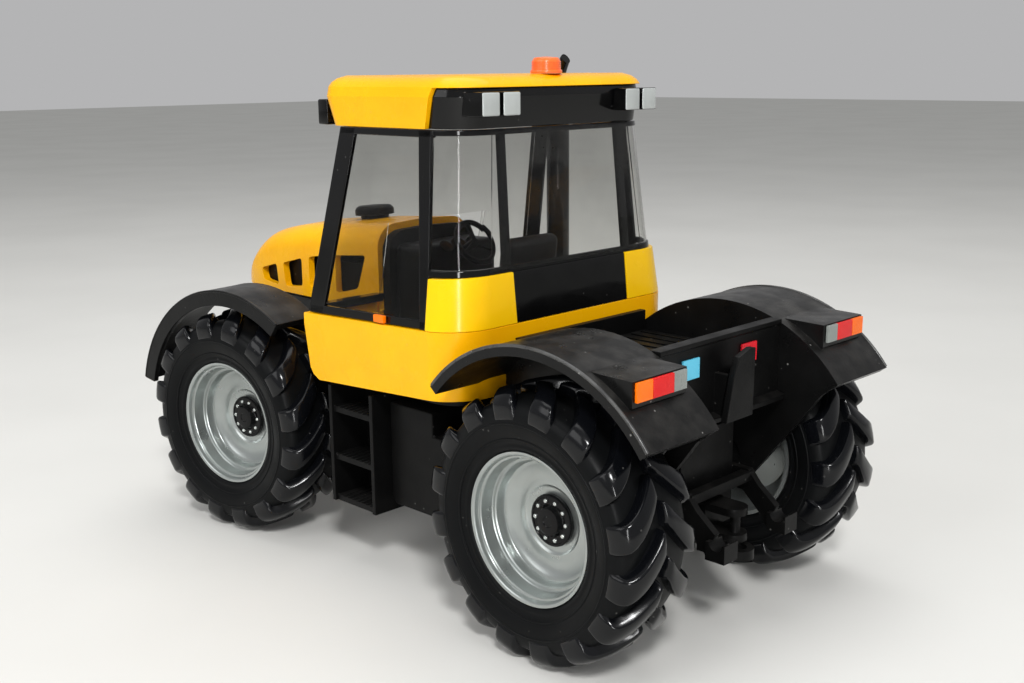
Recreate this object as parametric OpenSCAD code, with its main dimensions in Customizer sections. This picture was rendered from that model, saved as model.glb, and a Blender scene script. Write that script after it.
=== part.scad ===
// Toy farm tractor in 1:32 with four equal wheels, a wide cab and a short load deck.
// +Y points to the rear, +Z up, and +X to the tractor's left side.
// Heights in the sections below are counted from the axle line, lengths from the rear axle.

/* [Wheels] */
// Outside radius of a tyre over its lugs
tyre_r = 23; // [22.4:0.1:23.8]
// Width of a tyre over its sidewalls
tyre_w = 17; // [15.5:0.1:17.4]
// Height of a tread lug
lug_h = 1.9; // [1.2:0.1:3]
// Lugs on each half of a tread
lug_count = 16; // [12:1:20]
// Radius of a rim as a share of the tyre's
rim_share = 0.552; // [0.54:0.002:0.58]
// Radial clearance between rim and tyre bead
bead_fit = 0.08; // [0.05:0.01:0.15]
// Width of a rim
rim_w = 14; // [13:0.1:14.8]
// Radius of a hub flange
hub_r = 4.4; // [4:0.1:5]
// Bolt heads round a hub
hub_bolts = 10; // [6:1:12]
// Distance between the front and rear axle
wheelbase = 89.5; // [88:0.5:96]
// Distance between the middles of the two wheels of an axle
track_w = 56; // [55:0.5:59]
// Radius of an axle stub
stub_r = 1.5; // [1.2:0.1:1.8]
// Running clearance between an axle stub and its hub
stub_fit = 0.05; // [0.02:0.01:0.09]

/* [Steering] */
// Distance of a kingpin from the middle
kingpin_x = 15.5; // [15:0.1:16]
// Radius of a kingpin
kingpin_r = 1.2; // [0.9:0.1:1.5]
// Angle to the left at which the front wheels stand
steer_rest = 8; // [0:0.5:12]
// Width of the steered front fenders
front_fender_w = 10.8; // [9.5:0.1:12]
// Gap between tyre and front fender
front_fender_gap = 3.1; // [2.5:0.1:4]

/* [Fenders] */
// Gap between tyre and rear fender
fender_gap = 4.9; // [3.5:0.1:6]
// Thickness of the fenders
fender_t = 1.8; // [1.2:0.1:2.2]
// Width of the rear fenders
fender_w = 16.2; // [15:0.1:17]
// Angle of a rear fender's back edge above the axle line
fender_back = 36.5; // [30:0.5:42]
// Angle of a rear fender's front edge above the axle line
fender_front = 41; // [38:0.5:50]
// Width of the load deck between the fender walls
deck_w = 34.8; // [33:0.1:35.6]

/* [Cab] */
// Width of the cab
cab_w = 60; // [58:0.5:61]
// Distance of the cab's back from the rear axle
cab_back = 20.7; // [20.4:0.1:21.5]
// Radius of the cab's rear corners
cab_corner = 8; // [6.5:0.5:9]
// Thickness of the tub's walls
tub_t = 1.4; // [1:0.1:1.8]
// Thickness of the windows
glass_t = 0.6; // [0.5:0.1:0.8]
// Thickness of the window frames
frame_t = 1.8; // [1.4:0.1:2.2]
// Width of the roof
roof_w = 53; // [52:0.1:54]
// Height of the roof's lower edge
roof_low = 61.3; // [60:0.1:63]
// Height of the roof's skirt and band
roof_band_h = 6.9; // [6:0.1:8]
// Rise of the roof's crown over its edge
roof_crown = 2.1; // [1.2:0.1:3]
// Wall of the roof's skirt and band
skirt_t = 2.2; // [1.8:0.1:2.6]

/* [Bonnet] */
// Width of the bonnet
bonnet_w = 25; // [23:0.2:25.6]
// Height of the bonnet at its rear end
bonnet_top = 41.6; // [40:0.1:43]
// Wall of the bonnet
bonnet_t = 1.2; // [0.9:0.1:1.5]
// Radius of the air cleaner's drum
cleaner_r = 4.1; // [3:0.1:4.6]
// Radius of the exhaust stack
exhaust_r = 2.5; // [2:0.1:2.7]

/* [Rear] */
// Distance of the tailboard's back from the rear axle
tail_y = 12; // [11:0.1:13]
// Height of the load deck's floor
deck_h = 21.5; // [20.5:0.1:22.5]
// Thickness of the load deck's plates
deck_t = 1.4; // [1:0.1:1.8]
// Radius of the pin hole in the drawbar
drawbar_hole_r = 1.4; // [1:0.1:1.8]
// Distance of a lower link from the middle
link_x = 9; // [8.8:0.1:10]
// Thickness of a lower link
link_t = 1.4; // [1:0.1:1.6]

/* [Fits] */
// Clearance between pieces that are fixed to each other
fit = 0.05; // [0.03:0.01:0.1]

/* [Hidden] */
$fn = 48;
body_yellow = [0.99, 0.72, 0.05];
black = [0.06, 0.06, 0.065];
silver = [0.62, 0.64, 0.62];

axle_z = tyre_r;
rim_r = tyre_r * rim_share;
wheel_x = track_w / 2;
wheel_off = wheel_x - kingpin_x;
fender_r = tyre_r + fender_gap;
fender_out_r = fender_r + fender_t;
front_fender_r = tyre_r + front_fender_gap;
front_fender_t = 1.6;
front_fender_back = 54.5;
front_fender_tip = 168;
front_fender_out = wheel_off + 6.3;
tip_y = -(front_fender_r + front_fender_t) * cos(front_fender_tip);
front_reach = wheelbase + tip_y * cos(steer_rest) + front_fender_out * sin(steer_rest);
rear_reach = fender_out_r * cos(fender_back);
home_y = (front_reach - rear_reach) / 2;
cab_x = cab_w / 2;
wall_x = deck_w / 2;
wall_t = 1.2;
roof_top = roof_low + roof_band_h;

// Puts a piece that was drawn from the rear axle into its place
module home() {
  translate([0, home_y, axle_z]) children();
}

// Extrudes a side profile drawn as Y and Z from x = a to x = b
module across(a, b) {
  translate([a, 0, 0]) rotate([90, 0, 90]) linear_extrude(b - a) children();
}

// Both sides of a piece drawn on the left
module pair() {
  children();
  mirror([1, 0, 0]) children();
}

// A tread ring's points: its place along the wheel, its radius over and between lugs, its trail
lug_pitch = 360 / lug_count;
lug_left = [0, 0.42, 0.55, 0.88];
lug_right = [0.05, 0.38, 0.5, 0.92];
tread = [[0.054, 1, 0], [0.27, 0.92, 0.5], [0.482, 0.42, 0.75]];
side_trail = 0.75;
bead_x = rim_w / 2 - 0.2;
side_x = tyre_w / 2;
function lug_up(i, right) = right ? (i % 4 < 2 ? 1 : 0) : (i % 4 < 2 ? 0 : 1);
function tread_ang(i, right, trail) =
  lug_pitch * (floor(i / 4) + (right ? lug_right[i % 4] : lug_left[i % 4]) - trail);
function ring_pt(x, r, a) = [x, r * cos(a), r * sin(a)];
function tread_ring(k, right) = [for (i = [0 : 4 * lug_count - 1])
  ring_pt((right ? 1 : -1) * tyre_w * tread[k][0],
    tyre_r - (1 - tread[k][1]) * lug_h * 0.9 - (1 - lug_up(i, right)) * lug_h * (0.35 + 0.65 * tread[k][1]),
    tread_ang(i, right, tread[k][2]))];
function plain_ring(x, r, trail) = [for (i = [0 : 4 * lug_count - 1])
  ring_pt(x, r, lug_pitch * (i / 4 - trail))];
tyre_rings = concat(
  [plain_ring(-bead_x, rim_r + bead_fit, side_trail), plain_ring(-side_x, (tyre_r + rim_r) / 2, side_trail)],
  [for (k = [2, 1, 0]) tread_ring(k, false)],
  [for (k = [0, 1, 2]) tread_ring(k, true)],
  [plain_ring(side_x, (tyre_r + rim_r) / 2, side_trail), plain_ring(bead_x, rim_r + bead_fit, side_trail)]);

// Tyre with chevron lugs whose points lead when the tractor rolls forward
module tyre() {
  n = 4 * lug_count;
  m = len(tyre_rings);
  polyhedron(points = [for (ring = tyre_rings) for (p = ring) p],
    faces = [for (j = [0 : m - 1]) for (i = [0 : n - 1]) for (h = [0, 1])
      let (a = j * n + i, b = j * n + (i + 1) % n, c = ((j + 1) % m) * n + i, d = ((j + 1) % m) * n + (i + 1) % n)
      h == 0 ? [a, b, c] : [b, d, c]], convexity = 6);
}

// Rim: a drum that steps down to a dished disc round the hub
hub_neck_r = hub_r - 0.8;
disc_x = 0.6;
module rim() {
  w = rim_w / 2;
  rotate([90, 0, 90]) rotate_extrude() polygon([
    [rim_r, -w], [rim_r, w], [rim_r - 0.7, w], [rim_r - 1.2, w - 0.8], [rim_r - 1.5, w - 3.4],
    [rim_r - 2.3, w - 3.8], [rim_r - 2.7, w - 5.2], [rim_r - 3.6, w - 5.7], [hub_r + 1, disc_x],
    [hub_neck_r + fit, disc_x], [hub_neck_r + fit, disc_x - 1.5], [rim_r - 3.8, -0.8],
    [rim_r - 2.6, -1.6], [rim_r - 1.7, -3], [rim_r - 1.2, 0.6 - w], [rim_r - 0.7, -w]]);
}

// Hub with a ring of bolt heads and a cap, blind bored for the axle stub
hub_back = -3.2;
stub_end = 0.7;
module hub() {
  difference() {
    rotate([90, 0, 90]) union() {
      translate([0, 0, hub_back]) cylinder(h = disc_x + fit - hub_back + 0.01, r = hub_neck_r);
      translate([0, 0, disc_x + fit]) cylinder(h = 0.8, r = hub_r);
      translate([0, 0, disc_x + fit + 0.79]) cylinder(h = 0.8, r = 2.3);
      for (i = [0 : hub_bolts - 1]) rotate([0, 0, i * 360 / hub_bolts])
        translate([hub_r - 0.95, 0, disc_x + fit + 0.79]) cylinder(h = 0.4, r = 0.38, $fn = 16);
    }
    rotate([90, 0, 90]) translate([0, 0, hub_back - 1]) cylinder(h = stub_end + 0.3 - hub_back + 1, r = stub_r + stub_fit);
  }
}

// Places a wheel piece drawn round X with its outer side to +X
module rear_wheel(side) {
  home() mirror([side < 0 ? 1 : 0, 0, 0]) translate([wheel_x, 0, 0]) children();
}

// Places a piece that turns with a front wheel, drawn from the kingpin
module on_knuckle(side) {
  home() translate([side * kingpin_x, -wheelbase, 0]) rotate([0, 0, steer_rest])
    mirror([side < 0 ? 1 : 0, 0, 0]) children();
}

module front_wheel(side) {
  on_knuckle(side) translate([wheel_off, 0, 0]) children();
}

// Kingpin, spindle and the stay that carries the front fender
yoke_gap = 6.8;
yoke_t = 1.6;
stay_s = wheel_off - tyre_w / 2 - 2.1;
stay_t = 1.3;
stay_y = 7;
module knuckle_shape() {
  translate([0, 0, -yoke_gap / 2]) cylinder(h = yoke_gap, r = 2.2);
  translate([0, 0, -yoke_gap / 2 - yoke_t]) cylinder(h = yoke_gap + 2 * yoke_t, r = kingpin_r);
  rotate([0, 90, 0]) cylinder(h = wheel_off + hub_back - 0.3, r = 2);
  rotate([0, 90, 0]) cylinder(h = wheel_off + stub_end, r = stub_r);
  translate([0, -stay_y, -1.6]) cube([stay_s + stay_t, stay_y, 3.2]);
  translate([stay_s, -stay_y - 1.6, -1.6]) cube([stay_t, 3.2, front_fender_r + 1.6 - 2]);
  translate([stay_s, -stay_y - 1.6, tyre_r + 0.6]) cube([front_fender_out - front_fender_w - stay_s - fit, 3.2,
    sqrt(front_fender_r * front_fender_r - pow(stay_y + 1.6, 2)) + 0.9 - tyre_r - 0.6]);
}

// Steered fender: an arch over the tyre, turned down along its outer edge
module front_fender_shape() {
  across(front_fender_out - front_fender_w, front_fender_out)
    arch_2d(front_fender_r, front_fender_r + front_fender_t, front_fender_back, front_fender_tip);
  across(front_fender_out - 1.2, front_fender_out)
    arch_2d(front_fender_r - 1.6, front_fender_r + 0.2, front_fender_back, front_fender_tip);
}

// Front axle beam with a yoke at each end
module front_axle() {
  color(black) home() translate([0, -wheelbase, 0]) difference() {
    union() {
      translate([-kingpin_x + 3, -2.2, -2.2]) cube([2 * kingpin_x - 6, 4.4, 4.4]);
      pair() {
        translate([kingpin_x - 5, -2.2, -yoke_gap / 2 - yoke_t]) cube([2, 4.4, yoke_gap + 2 * yoke_t]);
        for (z = [-yoke_gap / 2 - yoke_t, yoke_gap / 2 + fit]) translate([kingpin_x, 0, z]) {
          cylinder(h = yoke_t - fit, r = 2.2);
          translate([-4, -2.2, 0]) cube([4, 4.4, yoke_t - fit]);
        }
      }
    }
    for (s = [-1, 1]) translate([s * kingpin_x, 0, -yoke_gap]) cylinder(h = 2 * yoke_gap, r = kingpin_r + stub_fit);
    pair() translate([kingpin_x, 0, -yoke_gap / 2 - fit]) cylinder(h = yoke_gap + 2 * fit, r = 2.5);
  }
}

// Rear axle tube with a stub at each end
module rear_axle() {
  color(black) home() rotate([0, 90, 0]) {
    translate([0, 0, -wheel_x + 9.5]) cylinder(h = 2 * wheel_x - 19, r = 4);
    translate([0, 0, -wheel_x - hub_back + 0.3]) cylinder(h = 2 * (wheel_x + hub_back - 0.3), r = 2);
    translate([0, 0, -wheel_x - stub_end]) cylinder(h = 2 * (wheel_x + stub_end), r = stub_r);
  }
}

// Chassis beam with the gearbox, the mounts under cab and deck and the front bumper
beam_x = 6;
rear_block_x = 7.6;
pivot_y = 7.4;
pivot_z = 0.5;
nose_y = -wheelbase - 23.7;
floor_h = 15.4;
module chassis() {
  color(black) home() difference() {
    union() {
      translate([-beam_x, nose_y + 6, -8]) cube([2 * beam_x, -nose_y - 26, 15]);
      translate([-rear_block_x, -20, -7.5]) cube([2 * rear_block_x, 29.6, 18.5]);
      translate([-rear_block_x, -14, 11]) cube([2 * rear_block_x, tail_y + 1, deck_h - deck_t - 11 - fit]);
      for (y = [-61, -32]) translate([-beam_x - 8, y, 7 - 3]) cube([2 * beam_x + 16, 6, floor_h - 1.4 - 4 - fit]);
      translate([-9.5, nose_y + 3, -2]) cube([19, 4, 14]);
      across(-beam_x, beam_x) polygon([[nose_y + 6.9, 0], [nose_y + 6.9, 7], [nose_y + 14, 7], [nose_y + 14, -8]]);
      pair() translate([rear_block_x - 0.01, pivot_y, pivot_z]) rotate([0, 90, 0])
        cylinder(h = link_x + link_t / 2 + 0.5 - rear_block_x, r = 1.2);
    }
    rotate([0, 90, 0]) translate([0, 0, -20]) cylinder(h = 40, r = 4 + fit);
    translate([-30, -wheelbase - 2.2 - fit, -2.2 - fit]) cube([60, 4.4 + 2 * fit, 4.4 + 2 * fit]);
  }
}

// Engine block under the bonnet, with ribs down its sides
tub_front = -64.2;
engine_front = -wheelbase - 13.5;
engine_l = tub_front - 0.3 - engine_front;
engine_x = 8.5;
rib_l = 4;
rib_end = 3.5;
rib_pitch = (engine_l - 11 - rib_end) / 3;
module engine() {
  color(black) home() {
    translate([-engine_x, engine_front, 7 + fit]) cube([2 * engine_x, engine_l, 15]);
    for (s = [-1, 1]) for (i = [0 : 3]) translate([s * engine_x - 1, engine_front + rib_end + i * rib_pitch, 10])
      cube([2, rib_l, 9]);
  }
}

// Tanks hung on both sides of the chassis under the cab
tank_x = 26;
module side_tanks() {
  color(black) home() pair() difference() {
    across(beam_x + fit, tank_x) polygon([[-44, -8], [-43, -9], [-28, -9], [-26, -7], [-26, 6.5],
      [-32 - fit, 6.5], [-32 - fit, 10.9], [-44, 10.9]]);
    translate([beam_x - 1, -32 - fit, 4 - fit]) cube([9.1, 6.2, 20]);
  }
}

// Steps under both doors
step_out = 29.4;
step_in = 20;
step_front = -58.3;
step_w = 12.3;
step_low = -11;
step_top = floor_h - 3;
module steps() {
  color(black) home() pair() {
    for (y = [step_front, step_front + step_w]) translate([step_in, y, step_low])
      cube([step_out - step_in, 1, step_top - step_low]);
    translate([step_in, step_front + 0.9, step_low]) cube([0.9, step_w - 0.8, step_top - step_low]);
    for (z = [step_low + 18, step_low + 8.4, step_low]) translate([step_in, step_front + 0.9, z])
      cube([step_out - step_in - 0.6, step_w - 0.8, 1.2]);
    translate([beam_x + fit, step_front + 4.3, -4]) cube([step_in - beam_x, 4, 4]);
  }
}

// Bonnet: lofted over stations of half width, height and corner radius
bonnet_end = -58;
stations = [[nose_y, 0.76, 27, 2.5], [nose_y + 3.7, 0.9, 31.4, 3.4], [nose_y + 12.2, 0.98, bonnet_top - 4.9, 4],
  [nose_y + 29, 1, bonnet_top - 2, 4.5], [bonnet_end, 1, bonnet_top, 4.5]];
bonnet_low = 23.6;
module bonnet_slice(s) {
  hw = bonnet_w / 2 * s[1];
  translate([0, s[0] + 0.05, 0]) rotate([90, 0, 0]) linear_extrude(0.1) {
    translate([-hw, bonnet_low]) square([2 * hw, s[2] - s[3] - bonnet_low]);
    translate([-hw + s[3], bonnet_low]) square([2 * (hw - s[3]), s[2] - bonnet_low]);
    for (x = [-1, 1]) translate([x * (hw - s[3]), s[2] - s[3]]) circle(s[3], $fn = 24);
  }
}
module bonnet() {
  hw = bonnet_w / 2;
  inner = hw - bonnet_t - 0.9;
  color(body_yellow) home() difference() {
    for (i = [0 : len(stations) - 2]) hull() {
      bonnet_slice(stations[i]);
      bonnet_slice(stations[i + 1]);
    }
    across(-inner, inner) polygon([[nose_y + 2.6, bonnet_low - 1], [nose_y + 2.6, 26], [nose_y + 6, 30],
      [nose_y + 13, bonnet_top - 8.5], [nose_y + 29, bonnet_top - 6.4], [bonnet_end + 1.5, bonnet_top - 4.4], [bonnet_end + 1.5, bonnet_low - 1]]);
    translate([0, nose_y + 113.2, 0]) for (c = bonnet_vents) across(-30, 30) polygon(c);
    translate([-7, nose_y - 1, bonnet_low + 1]) cube([14, 5, 2.6]);
  }
}
// Side vents between the body-coloured uprights
bonnet_vents = [
  [[-104.8, 28], [-104, 25.4], [-98, 24.9], [-98.6, 29.6]],
  [[-96, 30], [-95.2, 24.9], [-88.8, 25.6], [-88.8, 31.8]],
  [[-86.2, 32.3], [-86.2, 25.8], [-79.4, 25.4], [-79.4, 33.4]],
  [[-76.8, 33.8], [-76.8, 25.6], [-70.6, 27.8], [-68, 35], [-69, 35]]];
module bonnet_liner() {
  inner = bonnet_w / 2 - bonnet_t - 0.9 - fit;
  color(black) home() {
    pair() across(8.8, inner) polygon([[nose_y + 8.7, 23.7], [nose_y + 8.7, 29.8], [nose_y + 12.2, 32], [-64.6, 32.3],
      [-64.6, 23.7]]);
    translate([-8.81, nose_y + 9.5, 23.7]) cube([17.62, 3, 6]);
    pair() translate([8.6, nose_y + 8.8, 23.7]) cube([0.4, 40, 3]);
  }
}

// Headlamps on the nose
module headlamps() {
  color([0.9, 0.9, 0.92]) home() for (s = [-1, 1]) translate([s * 5.6, nose_y + 3 - fit, 8]) rotate([90, 0, 0]) {
    cylinder(h = 1.2, r = 2.1);
  }
}

// Air cleaner drum, which stands square on the sloping bonnet
cleaner_y = nose_y + 34.7;
bonnet_slope = 2 / (bonnet_end - nose_y - 29);
module air_cleaner() {
  z0 = bonnet_top - 2 + (cleaner_y - nose_y - 29) * bonnet_slope;
  color(black) home() translate([0, cleaner_y, z0 + 0.06]) rotate([atan(bonnet_slope), 0, 0]) rotate_extrude()
    polygon([[0, 0], [cleaner_r - 1.1, 0], [cleaner_r - 1.1, 0.8], [cleaner_r, 0.8], [cleaner_r, 2.2],
      [cleaner_r - 0.7, 2.8], [0, 3]]);
}

// Exhaust stack beside the right front pillar, with a bent tip
exhaust_y = -55;
module exhaust_stack() {
  x = -cab_x - fit - 0.1 - exhaust_r;
  color(black) home() {
    translate([x, exhaust_y, 26]) cylinder(h = 37, r = exhaust_r);
    translate([x, exhaust_y, 22]) cylinder(h = 5, r = exhaust_r - 0.8);
    translate([x, exhaust_y, 62]) cylinder(h = 9, r = 1.2);
    translate([x, exhaust_y + 2.4, 70.99]) rotate([90, 0, -90]) rotate_extrude(angle = 62, start = 0)
      translate([2.4, 0]) circle(1.2, $fn = 24);
    translate([x, exhaust_y - 1, 24]) cube([exhaust_r + 0.1, 2, 1.8]);
    translate([x, exhaust_y - 1, 56]) cube([-x - win_x(56) - fit, 2, 2]);
  }
}

// Arch of a rear fender with its inner wall and the hood over the lamps
hood_x0 = 19.8;
hood_x1 = 32.9;
hood_top = fender_out_r - 2.1;
hood_back = fender_out_r * 0.65;
module arch_2d(r0, r1, a0, a1) {
  intersection() {
    difference() {
      circle(r1, $fn = 96);
      circle(r0, $fn = 96);
    }
    polygon([[0, 0], [60 * cos(a0), 60 * sin(a0)], [60 * cos((a0 + a1) / 2), 60 * sin((a0 + a1) / 2)],
      [60 * cos(a1), 60 * sin(a1)]]);
  }
}
module rear_fender_shape() {
  x0 = wall_x + fit;
  difference() {
    union() {
      across(x0, x0 + wall_t + fender_w) arch_2d(fender_r, fender_out_r, fender_back, 180 - fender_front);
      across(x0, x0 + wall_t) intersection() {
        circle(fender_r + 0.5, $fn = 96);
        polygon([[-18.5, 12], [-fender_r * cos(fender_front), fender_r * sin(fender_front)], [-30, 40], [30, 40],
          [fender_out_r * cos(fender_back), fender_out_r * sin(fender_back)],
          [(fender_r - 1) * cos(fender_back), (fender_r - 1) * sin(fender_back)],
          [20.6, 15.1], [16.9, 10.1], [7.4, -2], [-10, -2]]);
      }
      difference() {
        across(hood_x0, hood_x1) polygon([[5, 22], [5, hood_top], [hood_back, hood_top - 0.4],
          [hood_back, hood_top - 4.4], [17, hood_top - 5.6]]);
        rotate([0, 90, 0]) cylinder(h = 60, r = fender_r + fender_t / 2, $fn = 96);
      }
    }
    rotate([0, 90, 0]) cylinder(h = 60, r = 4.6);
    // room for the cab's tub
    translate([0, 0, 9]) linear_extrude(26) cab_plan(-0.12, -75);
  }
}
module rear_fender_left() {
  color(black) home() rear_fender_shape();
}
module rear_fender_right() {
  color(black) home() mirror([1, 0, 0]) rear_fender_shape();
}

// Lamps on the hoods: amber outside, then red, then grey
module lamp(a, b) {
  home() pair() translate([a, hood_back + fit, hood_top - 3.6]) cube([b - a, 0.55, 3]);
}
module tail_lamps_amber() {
  color([1, 0.5, 0.05]) lamp(28.75, 32.4);
}
module tail_lamps_red() {
  color([0.9, 0.1, 0.1]) lamp(23.65, 28.7);
}
module tail_lamps_grey() {
  color([0.55, 0.57, 0.55]) lamp(20.5, 23.6);
}

// Outline of the cab in plan, set in by i
module cab_plan(i, front, hw = cab_x, back = cab_back) {
  x = hw - i;
  c = hw - cab_corner;
  translate([-x, front + i]) square([2 * x, -back - cab_corner - front - i]);
  translate([-c, front + i]) square([2 * c, -back - i - front - i]);
  for (s = [-1, 1]) translate([s * c, -back - cab_corner]) circle(cab_corner - i);
}

// Sill line of the tub, which climbs to the rear
sill_front = 25.8;
sill_slope = 0.037;
function sill(y) = sill_front + (y - tub_front) * sill_slope;
module cab_tub() {
  color(body_yellow) home() difference() {
    intersection() {
      translate([0, 0, 5]) linear_extrude(30) difference() {
        cab_plan(0, tub_front);
        cab_plan(tub_t, tub_front);
      }
      across(-40, 40) polygon([[tub_front - 1, sill(tub_front - 1)], [tub_front - 1, 24.5], [tub_front, 23.5],
        [-62.8, 15.2], [-61.9, 13.9], [-60.1, 13], [-15, 15.6], [-15, sill(-15)]]);
    }
    translate([-bonnet_w / 2 - 0.3, tub_front - 1, bonnet_low - 0.2]) cube([bonnet_w + 0.6, 6, 20]);
  }
}
module cab_floor() {
  color(black) home() intersection() {
    translate([0, 0, floor_h - 1.4]) linear_extrude(1.4) cab_plan(tub_t + fit, tub_front);
    translate([-40, -61.4, 0]) cube([80, 60, 30]);
  }
}

// The cab leans inward above its sill: half width and back of the panels and of the windows
function panel_x(z) = cab_x - (z - 27.4) * 0.11;
function panel_back(z) = cab_back + (z - 27.4) * 0.1;
function win_x(z) = cab_x - 0.6 - (z - 27.4) * 0.1;
function win_back(z) = cab_back + 0.7 + (z - 27.4) * 0.08;
module panel_body(i, z0, z1) {
  hull() for (z = [z0, z1]) translate([0, 0, z]) linear_extrude(0.01) cab_plan(i, -75, panel_x(z), panel_back(z));
}
module window_body(i, z0, z1) {
  hull() for (z = [z0, z1]) translate([0, 0, z]) linear_extrude(0.01) cab_plan(i, -75, win_x(z), win_back(z));
}

// Panels round the rear corners and the dark panel between them
panel_in = 15.3;
panel_top = 36.5;
panel_front = -29;
module corner_panel_shape() {
  intersection() {
    difference() {
      panel_body(0, 22, 42);
      panel_body(1.3, 21, 43);
    }
    across(panel_in + fit, 60) polygon([[panel_front, sill(panel_front) + fit], [-15, sill(-15) + fit],
      [-15, panel_top + 0.3], [panel_front, panel_top - 0.3]]);
  }
}
module corner_panel_left() {
  color(body_yellow) home() corner_panel_shape();
}
module corner_panel_right() {
  color(body_yellow) home() mirror([1, 0, 0]) corner_panel_shape();
}
module cab_rear_panel() {
  z0 = sill(-cab_back) + fit;
  color(black) home() across(-panel_in, panel_in) polygon([[-panel_back(z0) - 1.3, z0], [-panel_back(z0) - 0.2, z0],
    [-panel_back(panel_top) - 0.2, panel_top], [-panel_back(panel_top) - 1.3, panel_top]]);
}

// Window frames: front, middle and rear pillars, the sills and the ring under the roof
pillar_top = roof_low - fit;
window_top = 59;
foot_z = sill(-60) + 1.6;
pillar_w = 3.3;
screen_low = [-61.8, 27.2];
screen_high = [-54.8, 59.2];
screen_slope = (screen_high[0] - screen_low[0]) / (screen_high[1] - screen_low[1]);
function screen_y(z) = screen_low[0] + (z - screen_low[1]) * screen_slope;
module side_mask(front_shift) {
  polygon([[screen_y(sill(-63)) + front_shift, sill(-63) + fit + 0.05], [screen_y(pillar_top) + front_shift, pillar_top],
    [-10, pillar_top], [-10, sill(-10) + fit + 0.05]]);
}
module cab_frame() {
  rail_x = win_x(pillar_top) - 0.3;
  color(black) home() {
    intersection() {
      difference() {
        window_body(0, 22, 64);
        window_body(frame_t, 21, 65);
        // door windows
        across(-40, 40) polygon([[screen_y(foot_z) + pillar_w, foot_z], [screen_y(window_top) + pillar_w, window_top],
          [-33.4, window_top], [panel_front - 1.4, sill(panel_front) + 1.5]]);
        // quarter windows
        pair() across(panel_in + 1.7, 60) polygon([[-28.2, panel_top + 1.6], [-30.2, window_top], [0, window_top],
          [0, panel_top + 1.6]]);
        // rear window
        translate([-panel_in + 0.2, -40, panel_top + 2.1]) cube([2 * panel_in - 0.4, 40, window_top - panel_top - 2.1]);
        // room for the corner panels and the panel between them
        translate([-60, panel_front - fit, 10]) cube([120, 60, panel_top + 0.35 - 10]);
      }
      across(-40, 40) side_mask(-1.2);
    }
    // cross rail over the windscreen and posts at its foot
    across(-rail_x, rail_x) polygon([[screen_y(window_top) - 1.2, window_top], [screen_y(pillar_top) - 1.2, pillar_top],
      [screen_y(pillar_top) + 2, pillar_top], [screen_y(window_top) + 2, window_top]]);
    pair() across(bonnet_w / 2 + 0.4, win_x(foot_z) - 0.3) polygon([[screen_y(foot_z - 1.5) - 1.2, foot_z - 1.5],
      [screen_y(foot_z) - 1.2, foot_z], [screen_y(foot_z) + 1.6, foot_z], [screen_y(foot_z - 1.5) + 1.6, foot_z - 1.5]]);
  }
}

// One clear moulding for all windows, seated behind the frames
module glazing() {
  i0 = frame_t + fit;
  z0 = foot_z + 0.15;
  z1 = window_top - 0.2;
  color([0.85, 0.9, 0.9, 0.35]) home() {
    intersection() {
      difference() {
        window_body(i0, 22, 64);
        window_body(i0 + glass_t, 21, 65);
      }
      across(-40, 40) polygon([[screen_y(z0) + 0.3, z0], [screen_y(z1) + 0.3, z1], [-10, z1], [-10, panel_top + 0.6],
        [panel_front + 0.2, panel_top + 0.6], [panel_front + 0.2, z0 + 0.8]]);
    }
    difference() {
      intersection() {
        across(-cab_x, cab_x) polygon([[screen_y(z0) + 0.1, z0], [screen_y(z1) + 0.1, z1],
          [screen_y(z1) + 0.1 + glass_t * 1.1, z1], [screen_y(z0) + 0.1 + glass_t * 1.1, z0]]);
        window_body(i0, 22, 64);
      }
      translate([-bonnet_w / 2 - 0.3, -75, 0]) cube([bonnet_w + 0.6, 20, bonnet_top + 0.3]);
    }
  }
}

// Dashboard at the bonnet's rear end
module dashboard() {
  color(black) home() translate([0, bonnet_end, 0]) intersection() {
    across(-10, 10) polygon([[fit, floor_h + fit], [fit, bonnet_top - 2], [4.5, bonnet_top - 3.2],
      [7.5, bonnet_top - 7], [6.9, floor_h + 12], [5.5, floor_h + fit]]);
    translate([0, 12, bonnet_top - 12]) rotate([90, 0, 0]) linear_extrude(20) {
      circle(10, $fn = 64);
      translate([-10, -40]) square([20, 40]);
    }
  }
}
module steering_wheel() {
  color(black) home() translate([0, bonnet_end + 7.1 + fit, bonnet_top - 6]) rotate([-58, 0, 0]) {
    translate([0, 0, -0.2]) cylinder(h = 4.4, r = 0.9);
    translate([0, 0, 4]) rotate_extrude() translate([4.4, 0]) circle(0.55, $fn = 24);
    for (a = [30, 150, 270]) rotate([0, 0, a]) translate([0, -0.45, 3.7]) cube([4.3, 0.9, 0.6]);
  }
}
seat_y = -42;
module seat() {
  color(black) home() translate([0, seat_y, 0]) {
    translate([-5, 0, floor_h + fit]) cube([10, 9, 5]);
    across(-7, 7) polygon([[-4, floor_h + 5], [-4, floor_h + 9], [-2.5, floor_h + 10], [5.4, floor_h + 9.4],
      [7.6, floor_h + 25], [9, floor_h + 26.5], [10.6, floor_h + 25.5], [9.4, floor_h + 5]]);
  }
}

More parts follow.
